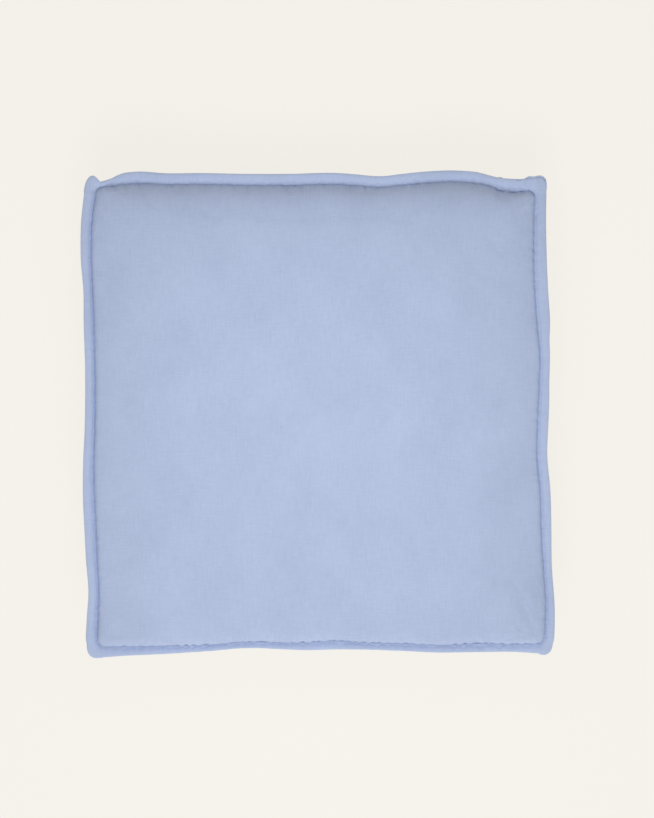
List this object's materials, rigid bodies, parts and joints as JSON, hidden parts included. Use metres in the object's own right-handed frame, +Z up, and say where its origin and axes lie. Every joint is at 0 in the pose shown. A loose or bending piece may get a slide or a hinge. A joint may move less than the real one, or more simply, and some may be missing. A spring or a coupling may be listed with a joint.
{
  "type": "floor cushion",
  "caption": "Square box floor cushion in pale blue woven cloth, with a raised lip round its top and bottom edges, a zip across the back and a foam inner cushion.",
  "frame": {"origin": "middle of the cushion's footprint, on the floor", "axes": "+Z up through the cushion's thickness; +Y towards the back, where the zip is; +X to the right, the way the zip closes"},
  "size_m": [0.6, 0.616, 0.1328],
  "materials": {
    "cover_linen": "matte",
    "seam_thread": "matte",
    "inner_calico": "matte",
    "wadding": "matte",
    "foam": "matte",
    "zip_tape": "matte",
    "zip_coil": "satin",
    "zip_metal": "satin"
  },
  "bodies": {
    "cushion": {"top_panel": "cover_linen", "bottom_panel": "cover_linen", "boxing_front": "cover_linen", "boxing_left": "cover_linen", "boxing_right": "cover_linen", "boxing_back_upper": "cover_linen", "boxing_back_lower": "cover_linen", "needle_thread_top": "seam_thread", "bobbin_thread_top": "seam_thread", "needle_thread_bottom": "seam_thread", "bobbin_thread_bottom": "seam_thread", "zip_stitching": "seam_thread", "inner_cover_top": "inner_calico", "inner_cover_bottom": "inner_calico", "wadding_top": "wadding", "wadding_bottom": "wadding", "foam_core": "foam", "zip_tape_upper": "zip_tape", "zip_tape_lower": "zip_tape", "zip_coil_upper": "zip_coil", "zip_coil_lower": "zip_coil", "zip_top_stop_upper": "zip_metal", "zip_top_stop_lower": "zip_metal", "zip_bottom_stop": "zip_metal"},
    "zip_slider": {"zip_slider": "zip_metal"},
    "zip_pull": {"zip_pull": "zip_metal"}
  },
  "joints": [
    {"name": "zip_slide", "type": "slide", "parent": "cushion", "child": "zip_slider", "axis": [-1, 0, 0], "range_m": [0, 0.4867]},
    {"name": "pull_swing", "type": "hinge", "parent": "zip_slider", "child": "zip_pull", "pos_m": [0.24335, 0.30345, 0.05628], "axis": [0, 0, -1], "range_deg": [0, 180]}
  ]
}
